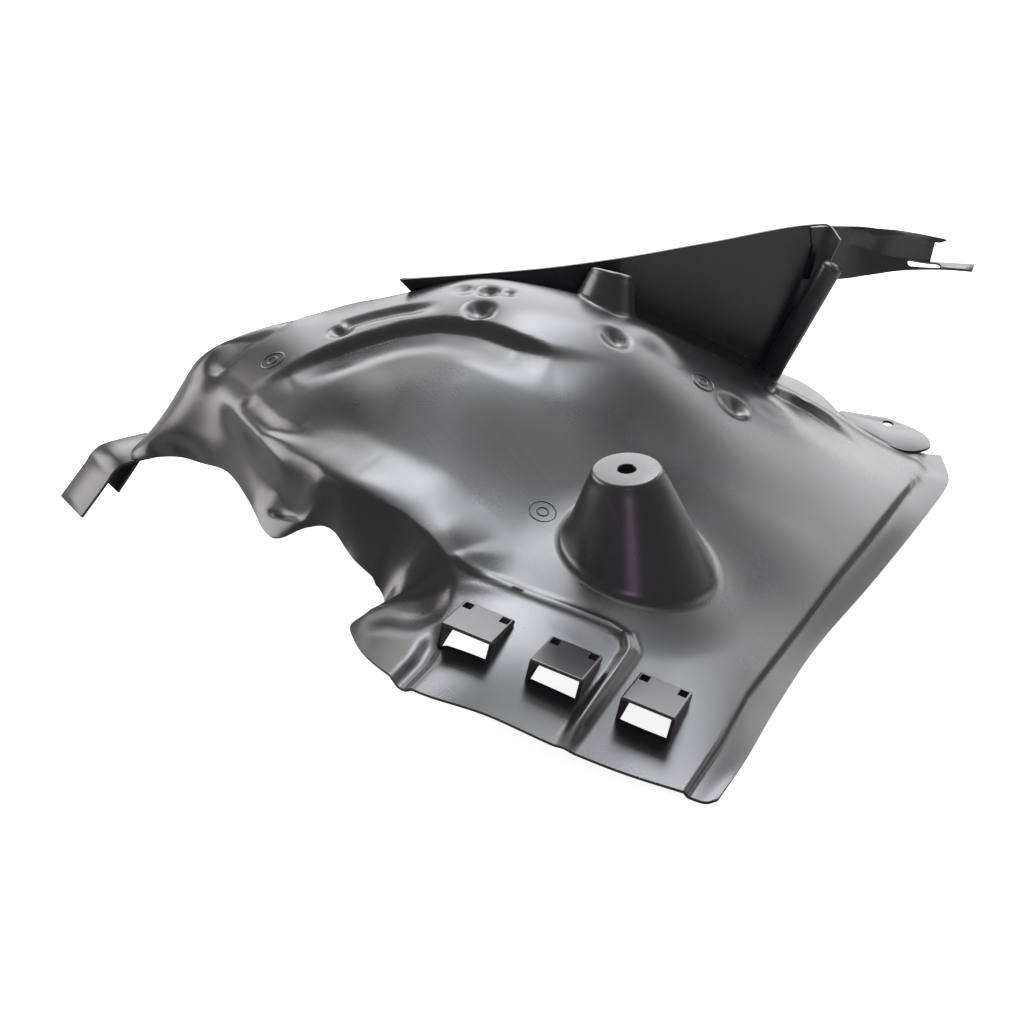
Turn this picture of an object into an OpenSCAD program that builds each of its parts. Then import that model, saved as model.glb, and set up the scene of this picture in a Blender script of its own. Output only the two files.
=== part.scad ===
// Wheel arch liner: one moulded sheet with two hollow standoffs, three bridged clip slots,
// a ribbed back wall with a Z-shaped end bracket, a hooked end clip and a lapped right edge.
// Points on the sheet are nominal millimetres from its front right corner, at table level.
// The finished model has its origin at the fixing hole of the front standoff.

/* [Sheet] */
// Length from the clip's foot to the right edge
sheet_length = 550; // [460:1:660]
// Depth from the slotted front edge to the back rim
sheet_depth = 470; // [390:1:565]
// Height of the crown above the table
crown_height = 130; // [108:1:156]
// Thickness of the moulded sheet
wall = 2; // [1.6:0.1:2.6]

/* [Right edge lap] */
// Width of the lap along the right edge
lap_width = 18; // [14:1:22]
// Depth of the step down to the lap
lap_step = 2.5; // [1.5:0.1:4]

/* [Pressed beads and channels] */
// Height of the L-shaped bead round the clip slots
bead_height = 3.5; // [2:0.1:4.5]
// Width of the L-shaped bead
bead_width = 12; // [9:0.5:16]
// Depth of the long curved channel across the crown
channel_depth = 7; // [4:0.1:9]
// Depth of the step at the left of the crown
crown_step = 3.5; // [2:0.1:5]
// Height of the sharp fold between the crown and the low left side
fold_height = 8; // [5:0.1:11]
// Depth of the hollow flank below the fold
fold_hollow = 8; // [6:0.1:10]
// Depth of the groove that carries the fold on to the near edge
fold_groove = 4; // [2:0.1:5]
// Depth of the deeper pressed dimples
dimple_depth = 6; // [3:0.1:8]
// Depth of the pocket under the fold
pocket_depth = 9; // [6:0.1:11]

/* [Front standoff] */
// Height above the foot of its cone
front_height = 67; // [54:1:80]
// Radius at the foot
front_foot_radius = 49; // [41:1:57]
// Radius of the flat top
front_top_radius = 21.5; // [17.5:0.5:25.5]
// Diameter of the fixing hole
front_hole = 11; // [9:0.1:13.5]

/* [Rear standoff] */
// Height above the foot of its cone
rear_height = 40; // [32:1:48]
// Radius at the foot
rear_foot_radius = 26; // [22:0.5:31]
// Radius of the flat top
rear_top_radius = 15; // [12:0.5:18]
// Diameter of the fixing hole
rear_hole = 9; // [7:0.1:11]

/* [Clip slots] */
// Width of a bridge
bridge_width = 32; // [26:0.5:38]
// Depth of a bridge from front to back
bridge_depth = 38; // [31:0.5:45]
// Height of the opening at the front of a bridge
bridge_height = 13; // [10.5:0.5:15.5]
// Height of a bridge at its back
bridge_back = 5; // [4:0.5:6]
// Distance between slots
slot_pitch = 53; // [49:0.5:63]
// Width of the two notches at the back of a bridge
bridge_notch = 5; // [3:0.5:6]
// Distance from the front of a bridge to the edge of the slot below it
slot_lip = 3; // [2:0.5:5]

/* [Back rib] */
// Radius of the half-round rib at the end of the back wall
rib_radius = 8; // [6.5:0.5:9.5]

/* [End bracket] */
// Length of the slotted hole in the lower flange
bracket_slot = 24; // [19:0.5:28]
// Width of the slotted hole
bracket_slot_width = 5; // [4:0.1:6]

/* [Hooked clip] */
// Width of the clip along the sheet's edge
clip_width = 36; // [29:1:43]

/* [Side tab] */
// Diameter of the hole in the tab
tab_hole = 8; // [6:0.1:9.5]

/* [Hidden] */
plastic = [0.12, 0.12, 0.13];
arc_facets = 96;
NOMINAL = [550, 470, 130];
STRETCH = [sheet_length / NOMINAL.x, sheet_depth / NOMINAL.y, crown_height / NOMINAL.z];

// Places a nominal point of the sheet in the real sheet
function place(p) = [p.x * STRETCH.x, p.y * STRETCH.y, p.z * STRETCH.z];

// Smooth step from 0 at a to 1 at b
function ease(a, b, x) =
    let (t = min(1, max(0, (x - a) / (b - a))))
    t * t * (3 - 2 * t);

// Smooth hump, 1 at no distance and 0 at the reach
function hump(d, reach) =
    let (t = max(0, 1 - pow(d / reach, 2)))
    t * t;

// Smooth curve through points p at knots k: its value at t
function slope_at(k, p, i) =
    let (a = max(i - 1, 0), b = min(i + 1, len(k) - 1))
    (p[b] - p[a]) / (k[b] - k[a]);
function curve(k, p, t) =
    let (
        i = max([for (n = [0 : len(k) - 2]) k[n] <= t ? n : 0]),
        h = k[i + 1] - k[i],
        s = (t - k[i]) / h,
        a = slope_at(k, p, i) * h,
        b = slope_at(k, p, i + 1) * h
    )
    (2 * pow(s, 3) - 3 * s * s + 1) * p[i] + (pow(s, 3) - 2 * s * s + s) * a
    + (3 * s * s - 2 * pow(s, 3)) * p[i + 1] + (pow(s, 3) - s * s) * b;

// Rails run from the left end to the right edge. Each row is a share of the way along, then x, y and z.
near_edge = [
    [0, -462, 177, 31], [0.06, -430, 183, 36], [0.10, -404, 171, 42], [0.14, -376, 156, 48],
    [0.19, -342, 123, 50], [0.235, -316, 95, 48], [0.27, -303, 89, 50], [0.31, -286, 97, 56],
    [0.35, -270, 96, 56], [0.39, -249, 82, 49], [0.43, -229, 73, 42], [0.455, -222, 64, 38],
    [0.48, -227, 50, 35], [0.505, -229, 34, 35], [0.53, -212, 12, 37], [0.57, -188, -4, 37],
    [0.62, -165, -12, 35], [0.70, -128, -6, 26], [0.77, -88, -7, 17], [0.85, -50, -6, 9],
    [0.93, -14, -4, 4], [0.975, -4, -3, 2.5], [1, 1, 2, 2.5]
];
low_side = [
    [0, -468, 188, 31.2], [0.06, -436, 184, 52], [0.14, -385, 172, 64], [0.26, -306, 108, 62],
    [0.36, -268, 101, 70], [0.45, -220, 84, 55], [0.53, -200, 48, 44], [0.62, -158, 45, 41],
    [0.70, -120, 45, 34], [0.85, -55, 48, 17], [0.93, -13, 46, 8], [1, 5, 45, 2.5]
];
shoulder = [
    [0, -470, 200, 31.2], [0.06, -430, 196, 72], [0.14, -396, 190, 81], [0.26, -322, 127, 82],
    [0.36, -272, 110, 81], [0.45, -222, 114, 68], [0.53, -188, 95, 54], [0.62, -155, 97, 47],
    [0.70, -120, 98, 39], [0.85, -55, 100, 22], [0.93, -13, 100, 11], [1, 7, 100, 2.5]
];
swell = [
    [0, -469, 216, 31.8], [0.06, -433, 212, 81], [0.14, -400, 212, 89], [0.26, -336, 162, 92],
    [0.36, -285, 150, 92], [0.45, -238, 160, 88], [0.53, -195, 160, 73], [0.62, -160, 162, 61],
    [0.70, -120, 164, 48], [0.85, -50, 168, 27], [0.93, -8, 168, 13], [1, 12, 168, 2.5]
];
middle = [
    [0, -468, 232, 33], [0.06, -435, 222, 85], [0.14, -403, 232, 95], [0.26, -350, 212, 105],
    [0.36, -298, 205, 110], [0.45, -252, 218, 111], [0.53, -212, 230, 106], [0.62, -172, 238, 93],
    [0.70, -132, 244, 76], [0.85, -55, 252, 42], [0.93, 3, 254, 17], [1, 25, 252, 2.5]
];
high = [
    [0, -467, 248, 35], [0.06, -436, 232, 87], [0.14, -404, 250, 99], [0.26, -358, 258, 112],
    [0.36, -312, 268, 121], [0.45, -268, 285, 128], [0.53, -228, 295, 127], [0.62, -185, 308, 117],
    [0.70, -142, 318, 98], [0.85, -66, 345, 55], [0.93, 10, 345, 18], [1, 37, 342, 2.5]
];
crest = [
    [0, -466, 268, 36], [0.06, -434, 242, 86], [0.14, -402, 268, 102], [0.26, -358, 290, 113],
    [0.36, -318, 308, 123], [0.45, -280, 332, 130], [0.53, -242, 343, 128], [0.62, -196, 354, 118],
    [0.70, -150, 374, 93], [0.85, -84, 410, 50], [0.93, -5, 408, 18], [1, 43, 402, 2.5]
];
valley = [
    [0, -462, 285, 36], [0.06, -430, 266, 79], [0.14, -400, 290, 94], [0.26, -352, 305, 112],
    [0.36, -312, 316, 119], [0.45, -275, 339, 123], [0.53, -240, 354, 119], [0.62, -197, 370, 108],
    [0.70, -154, 394, 84], [0.85, -92, 430, 46], [0.93, -15, 428, 14], [1, 41, 420, 2.5]
];
back_foot = [
    [0, -458, 300, 34], [0.06, -428, 296, 64], [0.14, -396, 316, 79], [0.26, -348, 326, 99],
    [0.31, -322, 318, 112], [0.36, -305, 320, 124], [0.45, -268, 343, 123], [0.53, -232, 366, 118],
    [0.62, -190, 393, 104], [0.70, -152, 418, 80], [0.85, -93, 455, 41], [0.87, -77, 457, 36],
    [0.89, -62, 458, 28], [0.905, -52, 450, 26], [0.93, -38, 442, 20], [0.97, 4, 434, 9], [1, 30, 449, 2.5]
];
wall_top = [
    [0.33, -322, 309, 131], [0.36, -316, 312, 132], [0.45, -276, 338, 132], [0.53, -235, 364, 133],
    [0.62, -188, 394, 137], [0.70, -142, 424, 143], [0.83, -70, 471, 151], [0.85, -58, 465, 143]
];
rails = [near_edge, low_side, shoulder, swell, middle, high, crest, valley, back_foot];
rail_shares = [0, 0.10, 0.22, 0.38, 0.55, 0.74, 0.87, 0.93, 1];
wall_from = 0.33;
wall_to = 0.85;

// Lines pressed into the sheet, as nominal x and y
channel_line = [
    [-387, 190], [-359, 211], [-341, 231], [-325, 247], [-303, 264],
    [-276, 275], [-248, 278], [-221, 276], [-199, 278], [-159, 298]
];
step_line = [[-410, 206], [-405, 220], [-400, 236], [-391, 254], [-380, 274], [-362, 292]];
crescent_line = [[-342, 257], [-325, 270], [-308, 279], [-279, 287]];
lens_line = [[-378, 186], [-362, 170], [-341, 152], [-307, 138], [-272, 137]];
fold_line = [
    [-401, 196], [-363, 160], [-330, 131], [-294, 114], [-264, 106], [-228, 105], [-208, 98],
    [-193, 90], [-183, 79], [-178, 62], [-176, 40], [-174, 14], [-178, -14]
];
bead_line = [
    [-194, 93], [-160, 92], [-120, 93], [-92, 94], [-81, 91], [-76, 82], [-77, 60], [-80, 25], [-84, -16]
];
ridge_line = [[-78, 386], [-67, 396], [-47, 398], [-14, 382]];
lap_line = [
    [-16, -20], [-14, 0], [-10, 42], [-9, 91], [-2, 156], [6, 222], [14, 281],
    [19, 328], [23, 379], [26, 399], [24, 415], [16, 443], [10, 470]
];
// Dimples: x, y, radius and share of the dimple depth
dimples = [
    [-339, 251, 10, 0.8], [-255, 289, 14, 1], [-260, 315, 11, 0.8], [-247, 318, 8, 0.5],
    [-276, 312, 10, 0.4], [-170, 316, 13, 1], [-91, 331, 13, 1]
];
// Pocket with rounded corners under the fold: its middle, half sides and turn
pocket_place = [-303, 110];
pocket_sides = [20, 10];
pocket_turn = -20;
// Low swellings: x, y, radius and height
swellings = [[-150, 348, 28, 5], [-74, 368, 26, 5], [-310, 180, 42, 2.5], [-96, 145, 72, 7]];

// Distance from point p to a line, with its side (right is positive) and the share along it
function to_segment(p, a, b) =
    let (
        d = (b - a) / norm(b - a),
        t = min(norm(b - a), max(0, (p - a) * d)),
        q = p - a - t * d
    )
    [norm(q), sign((p - a).x * d.y - (p - a).y * d.x), t];
function nearest(list, i = 0, best = undef) =
    i == len(list) ? best
    : nearest(list, i + 1, best == undef || list[i][0] < best[0] - 0.000001 ? list[i] : best);
function to_line(p, line) =
    let (count = len(line) - 1)
    nearest([
        for (i = [0 : count - 1])
            let (s = to_segment(p, line[i], line[i + 1]))
            [s[0], s[1], (i + s[2] / norm(line[i + 1] - line[i])) / count]
    ]);

// The fold falls at once on its low side, over a width that grows along it, and fades on its high side
fold_fade = 50;
function folded(f) =
    let (
        tall = fold_height * ease(0, 0.42, f[2]) * (1 - ease(0.5, 0.72, f[2])),
        hollow = fold_hollow * ease(0.3, 0.5, f[2]) * (1 - ease(0.76, 0.88, f[2])),
        low_width = 13 + 33 * ease(0.3, 0.52, f[2]),
        down = min(1, (sqrt(f[0] * f[0] + 1) - 1) / low_width)
    )
    (f[1] > 0
        ? tall * (1 - down) - hollow * 4 * down * (1 - down)
        : tall * (1 - ease(0, fold_fade, f[0])))
    - fold_groove * ease(0.8, 0.88, f[2]) * hump(f[0], 9);

// Share of the pocket's depth at point p
function in_pocket(p) =
    let (
        d = p - pocket_place,
        a = abs(d.x * cos(pocket_turn) + d.y * sin(pocket_turn)) / pocket_sides.x,
        b = abs(d.y * cos(pocket_turn) - d.x * sin(pocket_turn)) / pocket_sides.y
    )
    1 - ease(0.5, 1, pow(pow(a, 4) + pow(b, 4), 0.25));

// Height added to the sheet by its channels, beads, dimples and lap, at nominal x and y
function pressed(p) =
    let (
        channel = to_line(p, channel_line),
        step = to_line(p, step_line),
        crescent = to_line(p, crescent_line),
        lens = to_line(p, lens_line),
        bead = to_line(p, bead_line),
        ridge = to_line(p, ridge_line),
        lap = to_line(p, lap_line)
    )
    (channel[1] > 0
        ? -channel_depth * ease(0, 0.25, channel[2]) * (1 - ease(0.72, 1, channel[2]))
          * ease(0, 9, channel[0]) * (1 - ease(10, 46, channel[0]))
        : 0)
    + (step[1] < 0
        ? -crown_step * ease(0, 0.2, step[2]) * ease(0, 5, step[0]) * (1 - ease(5, 24, step[0]))
        : 0)
    - dimple_depth / 2 * hump(crescent[0], 9) * ease(0, 0.1, crescent[2]) * (1 - ease(0.7, 1, crescent[2]))
    - dimple_depth / 2.4 * hump(lens[0], 9) * ease(0, 0.15, lens[2]) * (1 - ease(0.45, 0.8, lens[2]))
    - pocket_depth * in_pocket(p)
    + folded(to_line(p, fold_line))
    + bead_height * ease(0, 0.04, bead[2]) * (1 - ease(0.9, 1, bead[2])) * hump(bead[0], bead_width / 2)
    + (ridge[1] < 0
        ? 6 * ease(0, 0.1, ridge[2]) * (1 - ease(0.6, 1, ridge[2])) * ease(0, 7, ridge[0])
          * (1 - ease(8, 40, ridge[0]))
        : 0)
    - lap_step * ease(-1.5, 1.5, lap[0] * lap[1] - (18 - lap_width))
    + sum_of([for (d = dimples) -dimple_depth * d[3] * hump(norm(p - [d.x, d.y]), d.z)])
    + sum_of([for (s = swellings) s[3] * hump(norm(p - [s.x, s.y]), s.z)]);
function sum_of(list, i = 0) = i == len(list) ? 0 : list[i] + sum_of(list, i + 1);

// Shares along and across the sheet where the facets meet, closer together where it bends more
function spread(knots, counts) = [
    for (i = [0 : len(counts) - 1])
        for (n = [0 : counts[i] - 1])
            knots[i] + (knots[i + 1] - knots[i]) * n / counts[i],
    knots[len(knots) - 1]
];
along = spread(
    [0, 0.06, 0.14, 0.26, wall_from, 0.45, 0.53, 0.62, 0.70, 0.77, 0.83, wall_to, 0.92, 0.96, 1],
    [4, 5, 7, 4, 7, 6, 5, 4, 4, 5, 1, 3, 4, 2]
);
across = spread(rail_shares, [4, 5, 5, 5, 7, 5, 2, 2]);
wall_rows = 3;
wall_first = index_of(along, wall_from);
wall_last = index_of(along, wall_to);
function index_of(list, x) = max([for (i = [0 : len(list) - 1]) list[i] <= x + 0.0001 ? i : 0]);

function shares(rail) = [for (p = rail) p[0]];
function points(rail) = [for (p = rail) [p[1], p[2], p[3]]];

// One column of the upper skin, from the near edge to the back rim and on up the back wall
function column(i) =
    let (
        u = along[i],
        through = [for (r = rails) curve(shares(r), points(r), u)],
        base = [for (v = across) curve(rail_shares, through, v)],
        foot = base[len(base) - 1],
        has_wall = i >= wall_first && i <= wall_last,
        head = has_wall ? curve(shares(wall_top), points(wall_top), u) : foot,
        rise = pressed([foot.x, foot.y])
    )
    [
        for (p = base) [p.x, p.y, p.z + pressed([p.x, p.y])],
        for (n = [1 : wall_rows])
            foot + [0, 0, rise] * (1 - n / wall_rows) + (head - foot) * n / wall_rows
    ];

last_i = len(along) - 1;
last_j = len(across) - 1 + wall_rows;
upper = [for (i = [0 : last_i]) [for (p = column(i)) place(p)]];
sheet_cells = [
    for (i = [0 : last_i - 1])
        [for (j = [0 : last_j - 1]) j < last_j - wall_rows || (i >= wall_first && i < wall_last)]
];

// A grid of points is a skin whose kept cells are two facets each
function has(cells, i, j) = i >= 0 && i < len(cells) && j >= 0 && j < len(cells[0]) && cells[i][j];
function facet_normal(grid, cells, i, j) = has(cells, i, j)
    ? cross(grid[i + 1][j] - grid[i][j], grid[i][j + 1] - grid[i][j])
      + cross(grid[i][j + 1] - grid[i + 1][j + 1], grid[i + 1][j] - grid[i + 1][j + 1])
    : [0, 0, 0];
function unit(v) = norm(v) == 0 ? [0, 0, 1] : v / norm(v);
function facing(grid, cells, i, j) = unit(
    facet_normal(grid, cells, i, j) + facet_normal(grid, cells, i - 1, j)
    + facet_normal(grid, cells, i, j - 1) + facet_normal(grid, cells, i - 1, j - 1)
);

// The same skin at a depth below itself
function lowered(grid, cells, depth) = [
    for (i = [0 : len(grid) - 1])
        [for (j = [0 : len(grid[0]) - 1]) grid[i][j] - depth * facing(grid, cells, i, j)]
];

// Solid between two skins of the same cells
module between(top, under, cells) {
    rows = len(top[0]);
    total = len(top) * rows;
    polyhedron(
        points = concat([for (c = top) each c], [for (c = under) each c]),
        faces = [
            for (i = [0 : len(cells) - 1])
                for (j = [0 : rows - 2])
                    if (cells[i][j])
                        let (a = i * rows + j, b = a + 1, d = a + rows, e = d + 1)
                        each concat(
                            [[a, b, e], [a, e, d]],
                            [[a + total, e + total, b + total], [a + total, d + total, e + total]],
                            has(cells, i - 1, j) ? [] : rim(b, a, total),
                            has(cells, i + 1, j) ? [] : rim(d, e, total),
                            has(cells, i, j - 1) ? [] : rim(a, d, total),
                            has(cells, i, j + 1) ? [] : rim(e, b, total)
                        )
        ],
        convexity = 12
    );
}
function rim(a, b, under) = [[a, b, b + under], [a, b + under, a + under]];

module sheet() {
    between(upper, lowered(upper, sheet_cells, wall), sheet_cells);
}

// The space over part of the sheet, from half way through its wall
seat = lowered(upper, sheet_cells, wall / 2);
module over_sheet(columns, rows) {
    floor_grid = [for (i = [columns[0] : columns[1]]) [for (j = [rows[0] : rows[1]]) seat[i][j]]];
    sky_grid = [for (c = floor_grid) [for (p = c) [p.x, p.y, crown_height * 1.6]]];
    cells = [for (i = [columns[0] : columns[1] - 1]) [for (j = [rows[0] : rows[1] - 1]) true]];
    between(sky_grid, floor_grid, cells);
}

// Standoffs: the foot on the sheet, the direction of the axis
front_foot = place([-104.1, 161.9, 34.4]);
front_lean = [-0.037, -0.068, 1];
rear_foot = place([-196, 358, 96.5]);
rear_lean = [0.09, 0.446, 1];
front_span = [
    [index_of(along, 0.57), index_of(along, 0.92)],
    [index_of(across, 0.16), index_of(across, 0.55)]
];
rear_span = [[index_of(along, 0.53), index_of(along, 0.70)], [index_of(across, 0.74), len(across) - 1]];
foot_drop = 20;
hollow_drop = 26;

// Turns a child from the Z axis to a direction
module aim(direction) {
    rotate([0, acos(direction.z / norm(direction)), atan2(direction.y, direction.x)])
        children();
}

module standoff(foot, lean, height, foot_radius, top_radius, span) {
    taper = (foot_radius - top_radius) / (height - 2);
    intersection() {
        translate(foot)
            aim(lean)
                union() {
                    translate([0, 0, -foot_drop])
                        cylinder(
                            h = height - 2 + foot_drop,
                            r1 = foot_radius + taper * foot_drop,
                            r2 = top_radius,
                            $fn = arc_facets
                        );
                    translate([0, 0, height - 2])
                        cylinder(h = 2, r1 = top_radius, r2 = top_radius - 1.5, $fn = arc_facets);
                }
        over_sheet(span[0], span[1]);
    }
}
module standoff_hollow(foot, lean, height, foot_radius, top_radius, hole) {
    taper = (foot_radius - top_radius) / (height - 2);
    translate(foot)
        aim(lean)
            union() {
                translate([0, 0, -hollow_drop])
                    cylinder(
                        h = height + hollow_drop - 1.5 * wall,
                        r1 = foot_radius + taper * hollow_drop - wall,
                        r2 = top_radius + taper * (1.5 * wall - 2) - wall,
                        $fn = arc_facets
                    );
                cylinder(h = height + 5, d = hole, $fn = arc_facets);
            }
}

// Clip slots: each has a wedge-shaped bridge over it, open at the front and below
slot_places = [for (n = [0 : 2]) [-155.5 + n * slot_pitch / STRETCH.x, 45, 40.6 - 11.4 * n]];
slot_side = 15;
slot_span = [[index_of(along, 0.53), index_of(along, 0.96)], [0, index_of(across, 0.22)]];
module at_slots() {
    for (p = slot_places)
        translate(place(p))
            rotate([4, 12, 0])
                children();
}
module bridge() {
    difference() {
        translate([-bridge_width / 2, -bridge_depth / 2, 0])
            rotate([90, 0, 90])
                linear_extrude(height = bridge_width)
                    polygon([
                        [0, -slot_side],
                        [bridge_depth, -slot_side],
                        [bridge_depth, bridge_back],
                        [0, bridge_height + wall]
                    ]);
        for (side = [-1, 1])
            translate([
                side * (bridge_width / 2 - wall - bridge_notch / 2) - bridge_notch / 2,
                bridge_depth / 2 - 2 * bridge_notch,
                bridge_back / 2
            ])
                cube([bridge_notch, 2 * bridge_notch - wall, bridge_height]);
    }
}
module slot_opening() {
    fall = (bridge_height + wall - bridge_back) / bridge_depth;
    translate([wall - bridge_width / 2, -bridge_depth / 2, 0])
        rotate([90, 0, 90])
            linear_extrude(height = bridge_width - 2 * wall)
                polygon([
                    [slot_lip, -slot_side],
                    [bridge_depth - wall, -slot_side],
                    [bridge_depth - wall, bridge_back - wall + wall * fall],
                    [-0.5, bridge_height + 0.5 * fall],
                    [-0.5, 1],
                    [slot_lip, 1]
                ]);
}

// Half-round rib at the right end of the back wall, hollow and open below
rib_foot = place([-98, 447, 41]);
rib_head = place([-61, 456, 125]);
module back_rib(grow, from) {
    length = norm(rib_head - rib_foot);
    translate(rib_foot)
        aim(rib_head - rib_foot)
            union() {
                translate([0, 0, from])
                    cylinder(h = length - from, r = rib_radius - grow, $fn = arc_facets);
                translate([0, 0, length])
                    cylinder(h = 4 - grow, r1 = rib_radius - grow, r2 = rib_radius - 4, $fn = arc_facets);
            }
}

// Z-shaped bracket that runs on from the head of the back wall: top flange, web and lower flange
bracket_grid = [
    [[-80, 465, 150], [-79, 466, 139], [-78, 466, 136], [-82, 462, 112]],
    [[-68, 472, 150], [-58, 488, 134], [-57, 491, 131], [-60, 481, 108]],
    [[-50, 492, 145], [-41, 496, 138], [-46, 502, 125], [-41, 495, 108.5]],
    [[-29, 504, 140], [-25, 504, 138], [-34, 509, 120], [-22, 510, 109]],
    [[0, 527, 131], [-3, 523, 129], [-5, 525, 112], [5, 520, 110]],
    [[5, 528, 129], [0, 526, 127.5], [26, 531, 112], [26, 524, 110]]
];
bracket_cells = [for (i = [0 : 4]) [for (j = [0 : 2]) j != 1 || i < 4]];
slot_middle = place([-8, 518.5, 112.2]);
slot_along = unit(place([29, 13, -5]));
slot_up = unit(cross(slot_along, place([-11, 2, 6.5])));
slot_across = cross(slot_up, slot_along);
module end_bracket() {
    skin = [for (r = bracket_grid) [for (p = r) place(p)]];
    difference() {
        between(skin, lowered(skin, bracket_cells, wall), bracket_cells);
        multmatrix([
            for (k = [0 : 2]) [slot_along[k], slot_across[k], slot_up[k], slot_middle[k]]
        ])
            hull()
                for (side = [-1, 1])
                    translate([side * (bracket_slot - bracket_slot_width) / 2, 0, 0])
                        cylinder(h = 6 * wall, d = bracket_slot_width, center = true, $fn = arc_facets);
    }
}

// Side tab: a flat plate that slopes down to the right under the back rim
tab_slope = 0.12;
tab_ring = [
    [-47, 461], [-40, 452], [-20, 438], [-2, 429], [12, 430], [22, 444],
    [18, 457], [7, 465], [-8, 469], [-16, 470], [-31, 466]
];
tab_middle = place([-12, 462, 9.6]);
module side_tab() {
    ring = [for (p = tab_ring) place([p.x, p.y, 6 - tab_slope * (p.x - 18)])];
    count = len(ring);
    middle = place([-8, 450, 6 - tab_slope * (-8 - 18)]);
    difference() {
        polyhedron(
            points = concat(ring, [for (p = ring) p - [0, 0, wall]], [middle, middle - [0, 0, wall]]),
            faces = [
                for (i = [0 : count - 1])
                    let (n = (i + 1) % count)
                    each [
                        [i, 2 * count, n],
                        [n + count, 2 * count + 1, i + count],
                        [i, n, n + count],
                        [i, n + count, i + count]
                    ]
            ]
        );
        translate(tab_middle)
            aim([tab_slope, 0, 1])
                cylinder(h = 20, d = tab_hole, center = true, $fn = arc_facets);
    }
}

// Hooked clip at the left end: a strip bent over into two sloping legs
clip_corner = place([-483, 143, 0]);
clip_turn = atan2(0.82, 0.57);
clip_path = [[0, 0], [19, 19], [25, 26], [31, 29.5], [37, 30.6], [46, 30.8], [66, 30.4]];
clip_inner = [[44, 30], [27, 11]];
// Outline of a strip of even thickness along a path
function side_of(path, i) =
    let (a = path[max(i - 1, 0)], b = path[min(i + 1, len(path) - 1)], d = (b - a) / norm(b - a))
    [-d.y, d.x];
function strip(path) = concat(
    path,
    [for (i = [len(path) - 1 : -1 : 0]) path[i] - wall * side_of(path, i)]
);
// The clip's bend rises with the sheet's left end, which it carries
function risen(path) = [for (p = path) [p.x, p.y * STRETCH.z]];
module hooked_clip() {
    translate(clip_corner)
        rotate([0, 0, clip_turn])
            rotate([90, 0, 0])
                union() {
                    translate([0, 0, -clip_width])
                        linear_extrude(height = clip_width) polygon(strip(risen(clip_path)));
                    translate([0, 0, -clip_width])
                        linear_extrude(height = clip_width) polygon(strip(risen(clip_inner)));
                }
}

module liner() {
    color(plastic)
        translate(-(front_foot + front_height * unit(front_lean)))
            difference() {
                union() {
                    sheet();
                    standoff(front_foot, front_lean, front_height, front_foot_radius, front_top_radius, front_span);
                    standoff(rear_foot, rear_lean, rear_height, rear_foot_radius, rear_top_radius, rear_span);
                    intersection() {
                        at_slots() bridge();
                        over_sheet(slot_span[0], slot_span[1]);
                    }
                    back_rib(0, 0);
                    end_bracket();
                    side_tab();
                    hooked_clip();
                }
                standoff_hollow(front_foot, front_lean, front_height, front_foot_radius, front_top_radius, front_hole);
                standoff_hollow(rear_foot, rear_lean, rear_height, rear_foot_radius, rear_top_radius, rear_hole);
                at_slots() slot_opening();
                back_rib(wall, -8);
            }
}

liner();
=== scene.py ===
# %% [markdown]
# # A moulded wheel arch liner
# The liner is one sheet of black plastic that shields the inside of a car's wing. Its skin is a free
# form, so it is built here as a lofted surface: a few rails run from the left end to the right
# edge, smooth curves join them, and beads, channels and dimples are pressed in by formula.
# The imported CAD model is the frame. Everything below sits in that frame, in metres.

import math

import bmesh
import bpy
import numpy as np
from mathutils import Euler, Matrix, Vector
from mathutils.bvhtree import BVHTree


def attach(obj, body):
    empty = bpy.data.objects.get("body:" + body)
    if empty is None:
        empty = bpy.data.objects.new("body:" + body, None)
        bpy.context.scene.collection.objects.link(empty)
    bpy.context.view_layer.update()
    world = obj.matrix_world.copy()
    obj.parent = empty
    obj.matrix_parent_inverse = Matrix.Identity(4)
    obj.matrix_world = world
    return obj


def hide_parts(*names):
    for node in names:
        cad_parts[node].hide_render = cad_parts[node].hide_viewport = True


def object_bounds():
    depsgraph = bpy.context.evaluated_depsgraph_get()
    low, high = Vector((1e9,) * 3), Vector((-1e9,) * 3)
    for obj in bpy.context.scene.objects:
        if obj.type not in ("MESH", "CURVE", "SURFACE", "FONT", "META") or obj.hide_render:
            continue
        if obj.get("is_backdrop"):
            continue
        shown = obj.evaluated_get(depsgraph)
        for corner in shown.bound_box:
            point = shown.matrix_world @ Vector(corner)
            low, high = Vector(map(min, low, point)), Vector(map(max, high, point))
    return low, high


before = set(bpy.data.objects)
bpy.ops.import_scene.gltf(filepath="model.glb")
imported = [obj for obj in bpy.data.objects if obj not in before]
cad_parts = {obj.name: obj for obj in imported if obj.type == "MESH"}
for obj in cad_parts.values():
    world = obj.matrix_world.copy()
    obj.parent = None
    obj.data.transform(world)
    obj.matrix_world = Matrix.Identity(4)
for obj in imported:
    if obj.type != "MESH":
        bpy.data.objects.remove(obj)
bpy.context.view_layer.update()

# %% [markdown]
# ## From the design's millimetres to the frame
# The design counts in millimetres from the sheet's front right corner, at table level. The frame's
# origin is the fixing hole of the front standoff, so one shift and one scale place every point.

# %% Places and sizes
MM = 0.001
WALL = 2.0
FRONT_STANDOFF = dict(
    foot=(-104.1, 161.9, 34.4), lean=(-0.037, -0.068, 1),
    height=67, foot_radius=49, top_radius=21.5, hole=11,
)
REAR_STANDOFF = dict(
    foot=(-196, 358, 96.5), lean=(0.09, 0.446, 1),
    height=40, foot_radius=26, top_radius=15, hole=9,
)


def unit(v):
    v = np.asarray(v, float)
    return v / np.linalg.norm(v)


ORIGIN = np.array(FRONT_STANDOFF["foot"]) + FRONT_STANDOFF["height"] * unit(FRONT_STANDOFF["lean"])


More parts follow.
